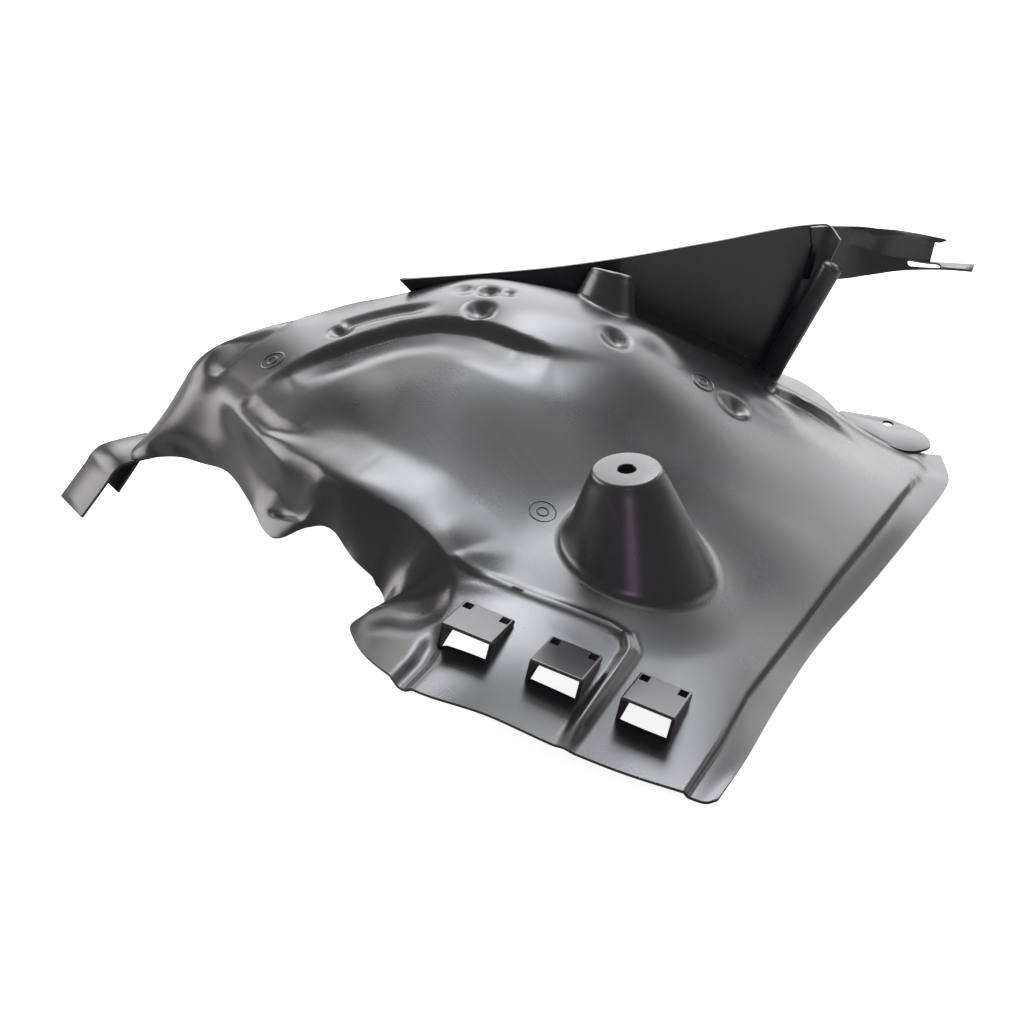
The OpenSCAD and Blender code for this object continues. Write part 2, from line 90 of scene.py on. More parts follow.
def place(points):
    """Design millimetres to metres in the frame."""
    return (np.asarray(points, float) - ORIGIN) * MM


# %% [markdown]
# ## The camera
# It stands where the photographer stood: 22 degrees round to the right of the front, looking down
# by 28 degrees, with a 70 mm lens. One known point fixes the rest: the sheet's front right corner
# shows at a known place in the picture, about a metre away.

# %% The camera
VIEW_TURN = math.radians(22.0)
VIEW_DOWN = math.radians(28.3)
LENS = 70.0
SENSOR = 36.0
PICTURE = 1024
CORNER_PIXEL = (715, 800)
CORNER_DISTANCE = 1050.0

right = np.array([math.cos(VIEW_TURN), math.sin(VIEW_TURN), 0])
ahead = np.array([
    -math.sin(VIEW_TURN) * math.cos(VIEW_DOWN),
    math.cos(VIEW_TURN) * math.cos(VIEW_DOWN),
    -math.sin(VIEW_DOWN),
])
up = np.cross(right, ahead)
half_angle = SENSOR / 2 / LENS
half_picture = PICTURE / 2
to_corner = (
    ahead
    + (CORNER_PIXEL[0] - half_picture) / half_picture * half_angle * right
    + (half_picture - CORNER_PIXEL[1]) / half_picture * half_angle * up
)
camera_data = bpy.data.cameras.new("camera")
camera_data.lens = LENS
camera_data.sensor_width = SENSOR
camera = bpy.data.objects.new("camera", camera_data)
bpy.context.scene.collection.objects.link(camera)
turn = Matrix((right, up, -ahead)).transposed().to_4x4()
camera.matrix_world = Matrix.Translation(place(-CORNER_DISTANCE * to_corner)) @ turn
bpy.context.scene.camera = camera
print("camera at", tuple(round(c, 3) for c in camera.matrix_world.translation))

# %% [markdown]
# ## Floor and light
# The photo was taken on a white sweep in soft light. The floor is white to the camera and a plain
# grey to all other light, so the liner's front stays dark as in the photo. The light comes mostly
# from large panels behind and above, which draw the long pale streaks on the curved sheet.

# %% Floor and backdrop
FLOOR_SIZE = 6.0
FLOOR_PAINT = (0.9, 0.9, 0.9, 1)
FLOOR_GREY = (0.5, 0.5, 0.5, 1)
FLOOR_GLOW = 0.85


def floor_material():
    """White paint that glows for the camera, and plain grey for all other light."""
    material = bpy.data.materials.new("white_sweep")
    material.use_nodes = True
    nodes, links = material.node_tree.nodes, material.node_tree.links
    nodes.clear()
    paint = nodes.new("ShaderNodeBsdfDiffuse")
    paint.inputs["Color"].default_value = FLOOR_PAINT
    glow = nodes.new("ShaderNodeEmission")
    glow.inputs["Strength"].default_value = FLOOR_GLOW
    table = nodes.new("ShaderNodeBsdfDiffuse")
    table.inputs["Color"].default_value = FLOOR_GREY
    both = nodes.new("ShaderNodeAddShader")
    links.new(paint.outputs[0], both.inputs[0])
    links.new(glow.outputs[0], both.inputs[1])
    path = nodes.new("ShaderNodeLightPath")
    mix = nodes.new("ShaderNodeMixShader")
    links.new(path.outputs["Is Camera Ray"], mix.inputs[0])
    links.new(table.outputs[0], mix.inputs[1])
    links.new(both.outputs[0], mix.inputs[2])
    out = nodes.new("ShaderNodeOutputMaterial")
    links.new(mix.outputs[0], out.inputs["Surface"])
    return material


floor_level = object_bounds()[0].z
half = FLOOR_SIZE / 2
floor_corners = [(x * half, y * half, floor_level) for x, y in ((-1, -1), (1, -1), (1, 1), (-1, 1))]
floor_mesh = bpy.data.meshes.new("floor")
floor_mesh.from_pydata(floor_corners, [], [(0, 1, 2, 3)])
floor = bpy.data.objects.new("floor", floor_mesh)
bpy.context.scene.collection.objects.link(floor)
floor_mesh.materials.append(floor_material())
floor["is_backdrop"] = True

# %% The world
WORLD_LIGHT = 0.25
world = bpy.data.worlds.new("white_room")
bpy.context.scene.world = world
world.use_nodes = True
tree = world.node_tree
tree.nodes.clear()
path = tree.nodes.new("ShaderNodeLightPath")
strength = tree.nodes.new("ShaderNodeMix")
strength.data_type = "FLOAT"
strength.inputs["A"].default_value = WORLD_LIGHT
strength.inputs["B"].default_value = 1.0
tree.links.new(path.outputs["Is Camera Ray"], strength.inputs["Factor"])
background = tree.nodes.new("ShaderNodeBackground")
tree.links.new(strength.outputs["Result"], background.inputs["Strength"])
background.inputs["Color"].default_value = (1, 1, 1, 1)
out = tree.nodes.new("ShaderNodeOutputWorld")
tree.links.new(background.outputs[0], out.inputs["Surface"])
bpy.context.scene.view_settings.view_transform = "Standard"

# %% The light panels
AIM = Vector((-0.08, 0.12, -0.05))


def light_panel(name, direction, distance, size, brightness, colour=(1, 1, 1)):
    """A square-cornered soft panel, that far from the liner in that direction. Brightness 1 is white."""
    data = bpy.data.lights.new(name, "AREA")
    data.shape = "RECTANGLE"
    data.size, data.size_y = size
    data.energy = brightness * math.pi * size[0] * size[1]
    data.color = colour
    panel = bpy.data.objects.new(name, data)
    toward = Vector(direction).normalized()
    panel.location = AIM + toward * distance
    panel.rotation_euler = toward.to_track_quat("Z", "Y").to_euler()
    panel.visible_camera = False
    bpy.context.scene.collection.objects.link(panel)


# Name, direction, distance and size in metres, brightness, colour
light_panel("back_panel", (-0.12, 0.88, 0.45), 2.2, (3.2, 1.3), 3.5, (1, 0.98, 1))
light_panel("horizon_panel", (0.05, 0.99, 0.10), 2.5, (2.4, 0.5), 2.0)
light_panel("upper_left_panel", (-0.27, 0.55, 0.79), 2.2, (0.9, 0.55), 3.2)
light_panel("glare_panel", (-0.02, 0.60, 0.80), 2.0, (0.66, 0.75), 8.6, (0.90, 0.95, 1))
light_panel("top_panel", (0.10, 0.32, 0.94), 2.4, (1.6, 0.7), 1.5)
light_panel("left_panel", (-0.90, -0.04, 0.42), 2.2, (1.8, 1.2), 4.2, (1, 0.96, 0.96))
light_panel("right_panel", (0.72, 0.55, 0.42), 2.2, (1.0, 0.8), 1.3, (1, 0.985, 0.97))
light_panel("violet_fill", (0.35, -0.8, 0.35), 1.8, (0.35, 0.8), 2.4, (0.92, 0.62, 1.0))

# %% [markdown]
# ## The moulded plastic
# The liner is moulded polypropylene: nearly black, with a satin gloss, a fine grain that breaks up
# the highlights, and hair-fine rub marks from handling. Two shared node groups make these.

# %% Shared effect: fine grain
GRAIN_SCALE = 900.0
GRAIN_DETAIL = 2.0
CLOUD_SCALE = 18.0
CLOUD_DETAIL = 3.0
UNEVENNESS = 0.3


def new_group(name, inputs, outputs):
    group = bpy.data.node_groups.new(name, "ShaderNodeTree")
    for label, kind, value in inputs:
        socket = group.interface.new_socket(label, in_out="INPUT", socket_type=kind)
        socket.default_value = value
    for label, kind in outputs:
        group.interface.new_socket(label, in_out="OUTPUT", socket_type=kind)
    return group, group.nodes.new("NodeGroupInput"), group.nodes.new("NodeGroupOutput")


def add_noise(group, scale, detail, vector, scale_from=None):
    noise = group.nodes.new("ShaderNodeTexNoise")
    noise.inputs["Scale"].default_value = scale
    noise.inputs["Detail"].default_value = detail
    group.links.new(vector, noise.inputs["Vector"])
    if scale_from is not None:
        group.links.new(scale_from, noise.inputs["Scale"])
    return noise.outputs["Fac"]


def add_math(group, operation, first, second, clamp=False):
    node = group.nodes.new("ShaderNodeMath")
    node.operation = operation
    node.use_clamp = clamp
    for socket, value in zip(node.inputs, (first, second)):
        if isinstance(value, (int, float)):
            socket.default_value = value
        else:
            group.links.new(value, socket)
    return node.outputs[0]


def grain_group():
    """Height of a fine moulded grain over a slow unevenness of the sheet."""
    group, inside, outside = new_group(
        "moulded_grain",
        [("Scale", "NodeSocketFloat", GRAIN_SCALE), ("Unevenness", "NodeSocketFloat", UNEVENNESS)],
        [("Height", "NodeSocketFloat"), ("Cloud", "NodeSocketFloat")],
    )
    spot = group.nodes.new("ShaderNodeTexCoord").outputs["Object"]
    fine = add_noise(group, GRAIN_SCALE, GRAIN_DETAIL, spot, inside.outputs["Scale"])
    slow = add_noise(group, CLOUD_SCALE, CLOUD_DETAIL, spot)
    uneven = add_math(group, "MULTIPLY", slow, inside.outputs["Unevenness"])
    group.links.new(add_math(group, "ADD", fine, uneven), outside.inputs["Height"])
    group.links.new(slow, outside.inputs["Cloud"])
    return group


moulded_grain = grain_group()

# %% Shared effect: rub marks
RUB_STRETCH = (14.0, 620.0, 14.0)
RUB_DETAIL = 3.0
RUB_FROM = 0.5
RUB_GAIN = 4.0
PATCH_SCALE = 9.0
PATCH_DETAIL = 2.0
PATCH_FROM = 0.42
PATCH_GAIN = 5.0


def raised(group, value, start, gain):
    """What lies above the start, made stronger and kept between 0 and 1."""
    return add_math(group, "MULTIPLY", add_math(group, "SUBTRACT", value, start), gain, clamp=True)


def rub_group():
    """Fine parallel rub marks: noise stretched along one direction and cut to its peaks."""
    group, inside, outside = new_group(
        "rub_marks",
        [("Turn", "NodeSocketFloat", 0.5), ("Amount", "NodeSocketFloat", 0.5)],
        [("Mask", "NodeSocketFloat")],
    )
    spot = group.nodes.new("ShaderNodeTexCoord").outputs["Object"]
    turned = group.nodes.new("ShaderNodeVectorRotate")
    turned.rotation_type = "Z_AXIS"
    group.links.new(spot, turned.inputs["Vector"])
    group.links.new(inside.outputs["Turn"], turned.inputs["Angle"])
    stretched = group.nodes.new("ShaderNodeVectorMath")
    stretched.operation = "MULTIPLY"
    stretched.inputs[1].default_value = RUB_STRETCH
    group.links.new(turned.outputs[0], stretched.inputs[0])
    lines = add_noise(group, 1.0, RUB_DETAIL, stretched.outputs[0])
    patch = add_noise(group, PATCH_SCALE, PATCH_DETAIL, spot)
    peaks = raised(group, lines, RUB_FROM, RUB_GAIN)
    where = raised(group, patch, PATCH_FROM, PATCH_GAIN)
    marked = add_math(group, "MULTIPLY", peaks, where)
    group.links.new(add_math(group, "MULTIPLY", marked, inside.outputs["Amount"]), outside.inputs["Mask"])
    return group


rub_marks = rub_group()

# %% The plastic
RUB_PALER = 2.6
RUB_LIFT = 0.01
RUB_ROUGHER = 0.12
CLOUD_RANGE = (0.3, 0.7)
ROUGH_SWING = 0.035
GRAIN_STRENGTH = 0.35
PLASTIC_IOR = 1.5
GLOSS_LEVEL = 0.85


def plastic_material(name, colour, roughness, grain_depth, rub_amount):
    material = bpy.data.materials.new(name)
    material.use_nodes = True
    nodes, links = material.node_tree.nodes, material.node_tree.links
    shader = nodes["Principled BSDF"]
    grain = nodes.new("ShaderNodeGroup")
    grain.node_tree = moulded_grain
    rubs = nodes.new("ShaderNodeGroup")
    rubs.node_tree = rub_marks
    rubs.inputs["Amount"].default_value = rub_amount
    tint = nodes.new("ShaderNodeMix")
    tint.data_type = "RGBA"
    tint.inputs["A"].default_value = (*colour, 1)
    tint.inputs["B"].default_value = (*[c * RUB_PALER + RUB_LIFT for c in colour], 1)
    links.new(rubs.outputs["Mask"], tint.inputs["Factor"])
    links.new(tint.outputs["Result"], shader.inputs["Base Color"])
    rough = nodes.new("ShaderNodeMapRange")
    rough.inputs["From Min"].default_value = CLOUD_RANGE[0]
    rough.inputs["From Max"].default_value = CLOUD_RANGE[1]
    rough.inputs["To Min"].default_value = roughness - ROUGH_SWING
    rough.inputs["To Max"].default_value = roughness + ROUGH_SWING
    links.new(grain.outputs["Cloud"], rough.inputs["Value"])
    rougher = add_math(material.node_tree, "MULTIPLY", rubs.outputs["Mask"], RUB_ROUGHER)
    rough_there = add_math(material.node_tree, "ADD", rougher, rough.outputs["Result"])
    links.new(rough_there, shader.inputs["Roughness"])
    bump = nodes.new("ShaderNodeBump")
    bump.inputs["Strength"].default_value = GRAIN_STRENGTH
    bump.inputs["Distance"].default_value = grain_depth
    links.new(grain.outputs["Height"], bump.inputs["Height"])
    links.new(bump.outputs[0], shader.inputs["Normal"])
    shader.inputs["IOR"].default_value = PLASTIC_IOR
    shader.inputs["Specular IOR Level"].default_value = GLOSS_LEVEL
    return material


black_plastic = plastic_material(
    "black_plastic",
    colour=(0.022, 0.021, 0.023),
    roughness=0.29,
    grain_depth=0.00012,
    rub_amount=0.25,
)
print("materials", [m.name for m in bpy.data.materials])

# %% [markdown]
# ## The sheet's rails
# Each rail is a row of points: the share of the way along, then x, y and z. They are the same
# rails as in the part's source, placed so that the outline and the main bends match.
# A smooth curve through the nine rails at each share gives the section there.

# %% Rails
near_edge = [
    [0, -462, 177, 31], [0.06, -430, 183, 36], [0.10, -404, 171, 42], [0.14, -376, 156, 48],
    [0.19, -342, 123, 50], [0.235, -316, 95, 48], [0.27, -303, 89, 50], [0.31, -286, 97, 56],
    [0.35, -270, 96, 56], [0.39, -249, 82, 49], [0.43, -229, 73, 42], [0.455, -222, 64, 38],
    [0.48, -227, 50, 35], [0.505, -229, 34, 35], [0.53, -212, 12, 37], [0.57, -188, -4, 37],
    [0.62, -165, -12, 35], [0.70, -128, -6, 26], [0.77, -88, -7, 17], [0.85, -50, -6, 9],
    [0.93, -14, -4, 4], [0.975, -4, -3, 2.5], [1, 1, 2, 2.5]
]
low_side = [
    [0, -468, 188, 31.2], [0.06, -436, 184, 52], [0.14, -385, 172, 64], [0.26, -306, 108, 62],
    [0.36, -268, 101, 70], [0.45, -220, 84, 55], [0.53, -200, 48, 44], [0.62, -158, 45, 41],
    [0.70, -120, 45, 34], [0.85, -55, 48, 17], [0.93, -13, 46, 8], [1, 5, 45, 2.5]
]
shoulder = [
    [0, -470, 200, 31.2], [0.06, -430, 196, 72], [0.14, -396, 190, 81], [0.26, -322, 127, 82],
    [0.36, -272, 110, 81], [0.45, -222, 114, 68], [0.53, -188, 95, 54], [0.62, -155, 97, 47],
    [0.70, -120, 98, 39], [0.85, -55, 100, 22], [0.93, -13, 100, 11], [1, 7, 100, 2.5]
]
swell = [
    [0, -469, 216, 31.8], [0.06, -433, 212, 81], [0.14, -400, 212, 89], [0.26, -336, 162, 92],
    [0.36, -285, 150, 92], [0.45, -238, 160, 88], [0.53, -195, 160, 73], [0.62, -160, 162, 61],
    [0.70, -120, 164, 48], [0.85, -50, 168, 27], [0.93, -8, 168, 13], [1, 12, 168, 2.5]
]
middle = [
    [0, -468, 232, 33], [0.06, -435, 222, 85], [0.14, -403, 232, 95], [0.26, -350, 212, 105],
    [0.36, -298, 205, 110], [0.45, -252, 218, 111], [0.53, -212, 230, 106], [0.62, -172, 238, 93],
    [0.70, -132, 244, 76], [0.85, -55, 252, 42], [0.93, 3, 254, 17], [1, 25, 252, 2.5]
]
high = [
    [0, -467, 248, 35], [0.06, -436, 232, 87], [0.14, -404, 250, 99], [0.26, -358, 258, 112],
    [0.36, -312, 268, 121], [0.45, -268, 285, 128], [0.53, -228, 295, 127], [0.62, -185, 308, 117],
    [0.70, -142, 318, 98], [0.85, -66, 345, 55], [0.93, 10, 345, 18], [1, 37, 342, 2.5]
]
crest = [
    [0, -466, 268, 36], [0.06, -434, 242, 86], [0.14, -402, 268, 102], [0.26, -358, 290, 113],
    [0.36, -318, 308, 123], [0.45, -280, 332, 130], [0.53, -242, 343, 128], [0.62, -196, 354, 118],
    [0.70, -150, 374, 93], [0.85, -84, 410, 50], [0.93, -5, 408, 18], [1, 43, 402, 2.5]
]
valley = [
    [0, -462, 285, 36], [0.06, -430, 266, 79], [0.14, -400, 290, 94], [0.26, -352, 305, 112],
    [0.36, -312, 316, 119], [0.45, -275, 339, 123], [0.53, -240, 354, 119], [0.62, -197, 370, 108],
    [0.70, -154, 394, 84], [0.85, -92, 430, 46], [0.93, -15, 428, 14], [1, 41, 420, 2.5]
]
back_foot = [
    [0, -458, 300, 34], [0.06, -428, 296, 64], [0.14, -396, 316, 79], [0.26, -348, 326, 99],
    [0.31, -322, 318, 112], [0.36, -305, 320, 124], [0.45, -268, 343, 123], [0.53, -232, 366, 118],
    [0.62, -190, 393, 104], [0.70, -152, 418, 80], [0.85, -93, 455, 41], [0.87, -77, 457, 36],
    [0.89, -62, 458, 28], [0.905, -52, 450, 26], [0.93, -38, 442, 20], [0.97, 4, 434, 9], [1, 30, 449, 2.5]
]
wall_top = [
    [0.33, -322, 309, 131], [0.36, -316, 312, 132], [0.45, -276, 338, 132], [0.53, -235, 364, 133],
    [0.62, -188, 394, 137], [0.70, -142, 424, 143], [0.83, -70, 471, 151], [0.85, -58, 465, 143]
]
rails = [near_edge, low_side, shoulder, swell, middle, high, crest, valley, back_foot]
RAIL_SHARES = [0, 0.10, 0.22, 0.38, 0.55, 0.74, 0.87, 0.93, 1]
WALL_FROM = 0.33
WALL_TO = 0.85

# %% Curves through points
def curve(knots, values, t):
    """Smooth curve through the values at the knots, taken at each t."""
    knots, values, t = (np.asarray(a, float) for a in (knots, values, t))
    n = np.arange(len(knots))
    before, after = np.maximum(n - 1, 0), np.minimum(n + 1, len(knots) - 1)
    slopes = (values[after] - values[before]) / (knots[after] - knots[before])[:, None]
    i = np.clip(np.searchsorted(knots, t, side="right") - 1, 0, len(knots) - 2)
    h = (knots[i + 1] - knots[i])[:, None]
    s = (t - knots[i])[:, None] / h
    return (
        (2 * s**3 - 3 * s**2 + 1) * values[i]
        + (s**3 - 2 * s**2 + s) * h * slopes[i]
        + (3 * s**2 - 2 * s**3) * values[i + 1]
        + (s**3 - s**2) * h * slopes[i + 1]
    )


def along_rail(rail, u):
    rail = np.array(rail, float)
    return curve(rail[:, 0], rail[:, 1:], u)


# %% [markdown]
# ## What is pressed into the sheet
# Channels, beads, dimples and the lap along the right edge are heights added to the surface. Each
# depends only on the distance from a given line or point, so a profile is one short formula.

# %% Lines and dimples
channel_line = [
    [-387, 190], [-359, 211], [-341, 231], [-325, 247], [-303, 264],
    [-276, 275], [-248, 278], [-221, 276], [-199, 278], [-159, 298]
]
step_line = [[-410, 206], [-405, 220], [-400, 236], [-391, 254], [-380, 274], [-362, 292]]
crescent_line = [[-342, 257], [-325, 270], [-308, 279], [-279, 287]]
lens_line = [[-378, 186], [-362, 170], [-341, 152], [-307, 138], [-272, 137]]
fold_line = [
    [-401, 196], [-363, 160], [-330, 131], [-294, 114], [-264, 106], [-228, 105], [-208, 98],
    [-193, 90], [-183, 79], [-178, 62], [-176, 40], [-174, 14], [-178, -14]
]
bead_line = [
    [-194, 93], [-160, 92], [-120, 93], [-92, 94], [-81, 91], [-76, 82], [-77, 60], [-80, 25], [-84, -16]
]
ridge_line = [[-78, 386], [-67, 396], [-47, 398], [-14, 382]]
lap_line = [
    [-16, -20], [-14, 0], [-10, 42], [-9, 91], [-2, 156], [6, 222], [14, 281],
    [19, 328], [23, 379], [26, 399], [24, 415], [16, 443], [10, 470]
]
# Dimples: x, y, radius and share of the dimple depth
dimples = [
    [-339, 251, 10, 0.8], [-255, 289, 14, 1], [-260, 315, 11, 0.8], [-247, 318, 8, 0.5],
    [-276, 312, 10, 0.4], [-170, 316, 13, 1], [-91, 331, 13, 1]
]
# Pocket with rounded corners under the fold: its middle, half sides and turn
pocket_place = [-303, 110]
pocket_sides = [20, 10]
pocket_turn = -20
# Low swellings: x, y, radius and height
swellings = [[-150, 348, 28, 5], [-74, 368, 26, 5], [-310, 180, 42, 2.5], [-96, 145, 72, 7]]

# %% Profiles
# An extent says where a form starts, reaches full size, begins to fade and is gone along its line.
# A ledge lies on one side of its line, 1 for the right and -1 for the left. Its profile says where
# its steep part, its flat part and the rest end.
LEDGES = [
    dict(line=channel_line, side=1, height=-7.0, extent=(0, 0.25, 0.72, 1), profile=(9, 10, 46)),
    dict(line=step_line, side=-1, height=-3.5, extent=(0, 0.2), profile=(5, 5, 24)),
    dict(line=ridge_line, side=-1, height=6.0, extent=(0, 0.1, 0.6, 1), profile=(7, 8, 40)),
]
GROOVES = [
    dict(line=crescent_line, depth=3.0, extent=(0, 0.1, 0.7, 1)),
    dict(line=lens_line, depth=2.5, extent=(0, 0.15, 0.45, 0.8)),
]
GROOVE_REACH = 9
DIMPLE_DEPTH = 6.0
POCKET_DEPTH = 9.0
POCKET_CORNER = 3
POCKET_REACH = 1.15
LAP_STEP = 2.5
LAP_SOFTNESS = 1.5

# The fold, the hollow that widens below it, and the groove at its lower end
FOLD_HEIGHT = 8.0
FOLD_FADE = 50.0
FOLD_EXTENT = (0, 0.42, 0.5, 0.72)
HOLLOW_DEPTH = 8.0
HOLLOW_WIDTHS = (13, 46)
HOLLOW_WIDENS = (0.3, 0.52)
HOLLOW_EXTENT = (0.3, 0.5, 0.76, 0.88)
FOOT_GROOVE = 4.0
FOOT_GROOVE_EXTENT = (0.8, 0.88)

# The bead, which grows from a slim start
BEAD_HEIGHT = 3.5
BEAD_WIDTH = 12.0
BEAD_EXTENT = (0, 0.04, 0.9, 1)
BEAD_GROWS = (0.35, 0.6)
BEAD_SLIM_HEIGHT = 0.4
BEAD_SLIM_WIDTH = 0.65


def ease(a, b, x):
    """Smooth step from 0 at a to 1 at b."""
    t = np.clip((x - a) / (b - a), 0, 1)
    return t * t * (3 - 2 * t)


def hump(distance, reach):
    """Smooth hump: 1 at no distance, 0 at the reach."""
    t = np.clip(1 - (distance / reach) ** 2, 0, None)
    return t * t


def hump_at(points, x, y, radius):
    """A smooth round hump."""
    return hump(np.hypot(points[:, 0] - x, points[:, 1] - y), radius)


def there(share, start, full, fading=None, gone=None):
    """How much of a form is there along its line."""
    size = ease(start, full, share)
    return size if fading is None else size * (1 - ease(fading, gone, share))


def between(ends, part):
    """The value that far from the first end to the second."""
    return ends[0] + (ends[1] - ends[0]) * part


def to_line(points, line):
    """Distance of each point from a line, its side (right is positive) and the share along it."""
    line = np.array(line, float)
    gap = np.full(len(points), np.inf)
    side, share = np.zeros(len(points)), np.zeros(len(points))
    for n, (a, b) in enumerate(zip(line, line[1:])):
        length = np.hypot(*(b - a))
        d = (b - a) / length
        off = points - a
        t = np.clip(off @ d, 0, length)
        q = off - t[:, None] * d
        here = np.hypot(q[:, 0], q[:, 1])
        closer = here < gap - 1e-6
        gap = np.where(closer, here, gap)
        side = np.where(closer, np.sign(off[:, 0] * d[1] - off[:, 1] * d[0]), side)
        share = np.where(closer, (n + t / length) / (len(line) - 1), share)
    return gap, side, share


def ledge(points, line, side, height, extent, profile):
    """A step beside a line: it rises at once, stays flat for a little and fades out."""
    gap, side_here, share = to_line(points, line)
    steep_to, flat_to, reach = profile
    rise = ease(0, steep_to, gap) * (1 - ease(flat_to, reach, gap))
    return np.where(side_here * side > 0, height * there(share, *extent) * rise, 0)


def groove(points, line, depth, extent):
    """A soft groove along a line, as a height below 0."""
    gap, _, share = to_line(points, line)
    return -depth * hump(gap, GROOVE_REACH) * there(share, *extent)


def folded(points):
    """The sharp fold: it falls at once on its low side, hollow below, and fades on its high side."""
    gap, side, share = to_line(points, fold_line)
    tall = FOLD_HEIGHT * there(share, *FOLD_EXTENT)
    depth = HOLLOW_DEPTH * there(share, *HOLLOW_EXTENT)
    width = between(HOLLOW_WIDTHS, ease(*HOLLOW_WIDENS, share))
    down = np.clip((np.sqrt(gap * gap + 1) - 1) / width, 0, 1)
    low = tall * (1 - down) - depth * 4 * down * (1 - down)
    high = tall * (1 - ease(0, FOLD_FADE, gap))
    return np.where(side > 0, low, high) + groove(points, fold_line, FOOT_GROOVE, FOOT_GROOVE_EXTENT)


def beaded(points):
    """The round-topped bead."""
    gap, _, share = to_line(points, bead_line)
    grown = ease(*BEAD_GROWS, share)
    tall = BEAD_HEIGHT * between((BEAD_SLIM_HEIGHT, 1), grown)
    reach = BEAD_WIDTH / 2 * between((BEAD_SLIM_WIDTH, 1), grown)
    return tall * there(share, *BEAD_EXTENT) * hump(gap, reach)


def in_pocket(points):
    """Share of the pocket's depth: a soft dish with rounded corners."""
    dx, dy = points[:, 0] - pocket_place[0], points[:, 1] - pocket_place[1]
    c, s = math.cos(math.radians(pocket_turn)), math.sin(math.radians(pocket_turn))
    a = np.abs(dx * c + dy * s) / pocket_sides[0]
    b = np.abs(dy * c - dx * s) / pocket_sides[1]
    out = (a**POCKET_CORNER + b**POCKET_CORNER) ** (1 / POCKET_CORNER)
    return 1 - ease(0, POCKET_REACH, out)


def pressed(points):
    """Height that the pressed forms add at each x and y."""
    height = folded(points) + beaded(points) - POCKET_DEPTH * in_pocket(points)
    for form in LEDGES:
        height += ledge(points, **form)
    for form in GROOVES:
        height += groove(points, **form)
    for x, y, radius, share in dimples:
        height -= DIMPLE_DEPTH * share * hump_at(points, x, y, radius)
    for x, y, radius, rise in swellings:
        height += rise * hump_at(points, x, y, radius)
    gap, side, _ = to_line(points, lap_line)
    return height - LAP_STEP * ease(-LAP_SOFTNESS, LAP_SOFTNESS, gap * side)


# %% [markdown]
# ## The skin as a grid
# The skin is a grid of small quads: columns along the sheet, rows across it and on up the back
# wall. A copy one wall thickness below closes it, and a rim joins the two all round.

# %% The grid of points
FINENESS = 4
SECTIONS_ALONG = [4, 5, 7, 4, 7, 6, 5, 4, 4, 5, 1, 3, 4, 2]
SHARES_ALONG = [0, 0.06, 0.14, 0.26, WALL_FROM, 0.45, 0.53, 0.62, 0.70, 0.77, 0.83, WALL_TO, 0.92, 0.96, 1]
SECTIONS_ACROSS = [4, 5, 5, 5, 7, 5, 2, 2]
WALL_ROWS = 12


def spread(knots, counts):
    """Shares between the knots, in equal steps within each section."""
    parts = [np.linspace(a, b, FINENESS * n, endpoint=False) for a, b, n in zip(knots, knots[1:], counts)]
    return np.concatenate(parts + [[knots[-1]]])


u_shares = spread(SHARES_ALONG, SECTIONS_ALONG)
v_shares = spread(RAIL_SHARES, SECTIONS_ACROSS)
through = np.stack([along_rail(rail, u_shares) for rail in rails])
skin = np.stack([curve(RAIL_SHARES, through[:, i], v_shares) for i in range(len(u_shares))])
flat = skin.reshape(-1, 3)
flat[:, 2] += pressed(flat[:, :2])
skin = flat.reshape(skin.shape)
wall_head = along_rail(wall_top, np.clip(u_shares, WALL_FROM, WALL_TO))
rise = np.linspace(0, 1, WALL_ROWS + 1)[1:, None]
wall_part = skin[:, -1][:, None] * (1 - rise) + wall_head[:, None] * rise
skin = np.concatenate([skin, wall_part], axis=1)
kept = np.ones((skin.shape[0] - 1, skin.shape[1] - 1), bool)
middle_shares = (u_shares[:-1] + u_shares[1:]) / 2
kept[(middle_shares < WALL_FROM) | (middle_shares > WALL_TO), -WALL_ROWS:] = False
print("skin grid", skin.shape)

# %% From grid to closed sheet
SAME_POINT = 1e-7


def grid_normals(grid, cells):
    """Unit normal at each grid point, from the kept cells round it."""
    a, b, d, e = grid[:-1, :-1], grid[:-1, 1:], grid[1:, :-1], grid[1:, 1:]
    facing = np.cross(e - a, b - d) * cells[..., None]
    total = np.zeros_like(grid)
    for i in (0, 1):
        for j in (0, 1):
            total[i : grid.shape[0] - 1 + i, j : grid.shape[1] - 1 + j] += facing
    length = np.linalg.norm(total, axis=2, keepdims=True)
    return np.where(length > 0, total / np.maximum(length, 1e-9), [0, 0, 1])


def cell_corners(i, j, rows):
    """The four corners of a grid's cell, by their numbers in the grid."""
    first = i * rows + j
    return first, first + rows, first + rows + 1, first + 1


def new_piece(name, vertices, faces):
    """A piece from design points, with no loose or doubled points and its faces turned outwards."""
    mesh = bpy.data.meshes.new(name)
    mesh.from_pydata(place(vertices).tolist(), [], faces)
    cleaned = bmesh.new()
    cleaned.from_mesh(mesh)
    bmesh.ops.delete(cleaned, geom=[v for v in cleaned.verts if not v.link_faces], context="VERTS")
    bmesh.ops.remove_doubles(cleaned, verts=cleaned.verts, dist=SAME_POINT)
    bmesh.ops.recalc_face_normals(cleaned, faces=cleaned.faces)
    cleaned.to_mesh(mesh)
    cleaned.free()
    piece = bpy.data.objects.new(name, mesh)
    bpy.context.scene.collection.objects.link(piece)
    return piece


